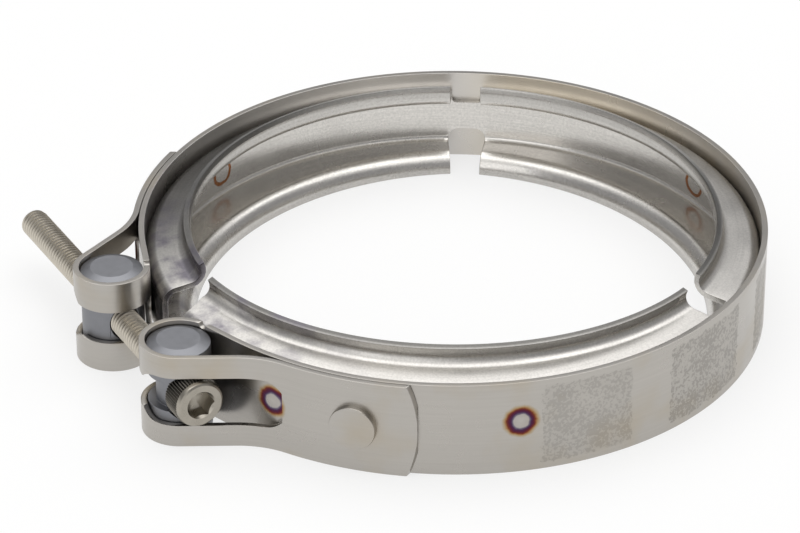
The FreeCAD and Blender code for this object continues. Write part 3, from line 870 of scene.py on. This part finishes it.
class CLAMP_OT_screw(bpy.types.Operator):
    """Make the socket head cap screw with its thread, knurled head and hexagon socket"""
    bl_idname = "clamp.screw"
    bl_label = "Screw"

    head_height = 6 * MM

    def execute(self, context):
        plan = closure_plan(context.scene.clamp_sizes)
        head = self.head()
        screw = self.shank()
        combine(screw, head, "UNION")
        put(screw, (SCREW_HIGH.x - self.head_height, plan.trunnion.y, 0), (0, math.pi / 2, 0))
        smooth(screw, sharp=30)
        deliver(screw, "screw", "screw", "clamp_screw",
                material_named("rolled_screw_steel", rolled_screw_steel, context.scene.clamp_finishes))
        return {"FINISHED"}

    def shank(self):
        """Rolled M6 thread, 1 mm pitch, standing on the Z axis below the head's underside."""
        pitch = 1.0 * MM
        tip = SCREW_LOW.x - SCREW_HIGH.x + self.head_height
        root = 2.42 * MM
        crest = 2.95 * MM
        turns = round(-tip / pitch) + 3
        bottom = tip - 1.487 * pitch
        # The thread's form: radius, and rise as a share of the pitch
        form = [(root, 0), (root, 0.16), (crest, 0.46), (crest, 0.60), (root, 0.90), (root, 1.0)]
        thread = wire([Vector((radius, 0, bottom + rise * pitch)) for radius, rise in form])
        modify(thread, "SCREW", axis="Z", screw_offset=pitch, iterations=turns, steps=40, render_steps=40)
        mend(thread)
        edit(thread)
        for height, below in ((tip, True), (0.7 * MM, False)):
            bpy.ops.mesh.select_all(action="SELECT")
            bpy.ops.mesh.bisect(plane_co=(0, 0, height), plane_no=UP, threshold=0.0001 * MM, use_fill=True,
                                clear_inner=below, clear_outer=not below)
        close()
        mend(thread)
        # The blank's pointed end chamfers the thread
        point = [(2.2 * MM, tip - HAIR), (3.0 * MM, tip + 0.75 * MM)]
        blank = turned(point + [(3.0 * MM, 0.8 * MM)])
        combine(thread, blank, "INTERSECT")
        return thread

    def head(self):
        """Knurled head with a turned rim and a hexagon socket, standing on the XY plane."""
        sides = 112
        # Radius and height in millimetres
        profile = [(4.7, 0), (4.98, 0.25), (4.98, 4.75), (4.8, 4.95), (4.8, 5.35), (4.65, 5.75), (4.3, 6.0)]
        head = turned([(radius * MM, height * MM) for radius, height in profile], sides)
        edit(head)
        half_tooth = math.pi / sides

        def is_groove(place):
            step = round(math.atan2(place.y, place.x) / (2 * half_tooth))
            return step % 2 == 0 and 0.1 * MM < place.z < 4.85 * MM

        pick(head, "VERT", is_groove)
        grow(0.955, ORIGIN)
        close()
        half_flats = 2.5 * MM
        socket_middle = 5 * MM
        socket = start(bpy.ops.mesh.primitive_cylinder_add, vertices=6, depth=4 * MM,
                       radius=half_flats / math.cos(math.pi / 6), location=(0, 0, socket_middle))
        combine(head, socket)
        # The drill's cone at the socket's bottom, and the bevel at its mouth
        cone = [(0.1 * MM, 1.8 * MM), (2.45 * MM, 3.05 * MM), (2.45 * MM, 3.2 * MM)]
        mouth = [(2.3 * MM, 5.2 * MM), (3.1 * MM, 6.2 * MM)]
        combine(head, turned(cone, sides=48))
        combine(head, turned(mouth, sides=48))
        return head


class CLAMP_OT_rivets(bpy.types.Operator):
    """Make the two flat-headed rivets that hold the folded tails"""
    bl_idname = "clamp.rivets"
    bl_label = "Rivets"

    def execute(self, context):
        sizes = context.scene.clamp_sizes
        plan = closure_plan(sizes)
        finishes = context.scene.clamp_finishes
        steel = material_named("stainless_strip", stainless_strip, finishes, sizes)
        under_head = plan.tail_outer - 0.4 * MM
        top = plan.tail_outer + 1.3 * MM
        shank = 2.5 * MM
        head = 4.65 * MM
        # The head's edge is rounded, and its face rises slightly to a flat middle
        crown = [(4.55 * MM, top - 0.12 * MM), (4.3 * MM, top), (1.5 * MM, top + 0.03 * MM)]
        for name, node, angle in (("rivet_head_side", "head_side_rivet", CLOSURE_DEG + RIVET_DEG),
                                  ("rivet_nut_side", "nut_side_rivet", CLOSURE_DEG - RIVET_DEG)):
            rivet = turned([(shank, plan.ring_inner), (shank, under_head), (head, under_head),
                            (head, top - 0.35 * MM)] + crown)
            put(rivet, ORIGIN, (0, math.pi / 2, math.radians(angle)))
            smooth(rivet)
            deliver(rivet, name, "clamp", node, steel)
        return {"FINISHED"}


class CLAMP_OT_stage(bpy.types.Operator):
    """Make the pale floor, the soft lights and the camera"""
    bl_idname = "clamp.stage"
    bl_label = "Stage"

    def execute(self, context):
        finishes = context.scene.clamp_finishes
        floor = start(bpy.ops.mesh.primitive_plane_add, size=6, location=(0, 0, CAD_LOW.z))
        floor.name = "floor"
        floor.data.materials.append(self.paper(finishes))
        self.studio(context)
        for name, place, size, power in (("soft_top", (-0.15, 0.15, 0.9), 1.4, 6.0),
                                         ("soft_front", (0.55, -0.75, 0.5), 0.7, 1.6)):
            bpy.ops.object.light_add(type="AREA", location=place)
            lamp = context.object
            lamp.name = name
            lamp.data.size = size
            lamp.data.energy = power
            lamp.rotation_euler = (-Vector(place)).to_track_quat("-Z", "Y").to_euler()
        tilt = [math.radians(angle) for angle in (59.302331, 0.055615, 61.893395)]
        bpy.ops.object.camera_add(location=(0.6124988, -0.3388152, 0.4141011), rotation=tilt)
        camera = context.object
        camera.data.lens = 180
        camera.data.sensor_width = 36
        camera.data.clip_start = 0.01
        camera.data.dof.use_dof = False
        context.scene.camera = camera
        context.scene.view_settings.view_transform = "Standard"
        return {"FINISHED"}

    def paper(self, finishes):
        """Matt white paper, most of which the camera and the metal see as plain white."""
        material = blank_material("white_paper")
        tree = material.node_tree
        skin = add(tree, "BsdfPrincipled", {"Base Color": tuple(finishes.floor), "Roughness": 0.9})
        glow = add(tree, "Emission", {"Color": (1, 1, 1, 1), "Strength": 1.0})
        rays = add(tree, "LightPath", {}).outputs
        shown = add(tree, "Math", {0: rays["Is Camera Ray"], 1: rays["Is Glossy Ray"]}, operation="MAXIMUM")
        shown = add(tree, "Math", {0: shown, 1: rays["Is Transmission Ray"]}, operation="MAXIMUM")
        # The other 30 % keeps the shadow
        share = add(tree, "Math", {0: shown, 1: 0.7}, operation="MULTIPLY")
        add(tree, "OutputMaterial", {"Surface": add(tree, "MixShader", {0: share, 1: skin, 2: glow})})
        return material

    def studio(self, context):
        """Studio that the metal mirrors: pale horizon, walls dim 16 to 35 degrees up, bright ceiling."""
        world = bpy.data.worlds.new("studio")
        context.scene.world = world
        world.use_nodes = True
        tree = world.node_tree
        tree.nodes.clear()
        toward = add(tree, "TexCoord", {}).outputs["Generated"]
        height = add(tree, "SeparateXYZ", {0: toward}).outputs[2]
        walls = add(tree, "ValToRGB", {0: height})
        walls.color_ramp.elements[0].color = linear("#F0F0F0")
        for stop, code in ((0.10, "#D8D8D8"), (0.28, "#A0A0A1"), (0.58, "#98989A"), (0.80, "#F4F4F4")):
            walls.color_ramp.elements.new(stop).color = linear(code)
        seen = add(tree, "LightPath", {}).outputs["Is Camera Ray"]
        shown = add(tree, "Mix", {0: seen, 6: walls, 7: (1, 1, 1, 1)}, data_type="RGBA").outputs[2]
        sky = add(tree, "Background", {"Color": shown, "Strength": 1.0})
        add(tree, "OutputWorld", {"Surface": sky})


class CLAMP_PT_panel(bpy.types.Panel):
    """Lists the clamp's pieces in the sidebar"""
    bl_idname = "CLAMP_PT_panel"
    bl_label = "Exhaust clamp"
    bl_space_type = "VIEW_3D"
    bl_region_type = "UI"
    bl_category = "Clamp"

    def draw(self, context):
        for maker in MAKERS:
            self.layout.operator(maker.bl_idname)
        for group in (context.scene.clamp_sizes, context.scene.clamp_finishes):
            for name in group.__annotations__:
                self.layout.prop(group, name)


MAKERS = (CLAMP_OT_band, CLAMP_OT_insert, CLAMP_OT_trunnions, CLAMP_OT_screw, CLAMP_OT_rivets,
          CLAMP_OT_stage)
CLASSES = (ClampSizes, ClampFinishes) + MAKERS + (CLAMP_PT_panel,)


def register():
    """Register the classes and hang the sizes and colours on the scene."""
    for item in CLASSES:
        bpy.utils.register_class(item)
    bpy.types.Scene.clamp_sizes = PointerProperty(type=ClampSizes)
    bpy.types.Scene.clamp_finishes = PointerProperty(type=ClampFinishes)


def unregister():
    """Take them off again."""
    del bpy.types.Scene.clamp_sizes
    del bpy.types.Scene.clamp_finishes
    for item in reversed(CLASSES):
        bpy.utils.unregister_class(item)


def main():
    """Build every piece and the stage."""
    register()
    bpy.ops.clamp.band()
    bpy.ops.clamp.insert()
    bpy.ops.clamp.trunnions()
    bpy.ops.clamp.screw()
    bpy.ops.clamp.rivets()
    bpy.ops.clamp.stage()


if __name__ == "__main__":
    main()
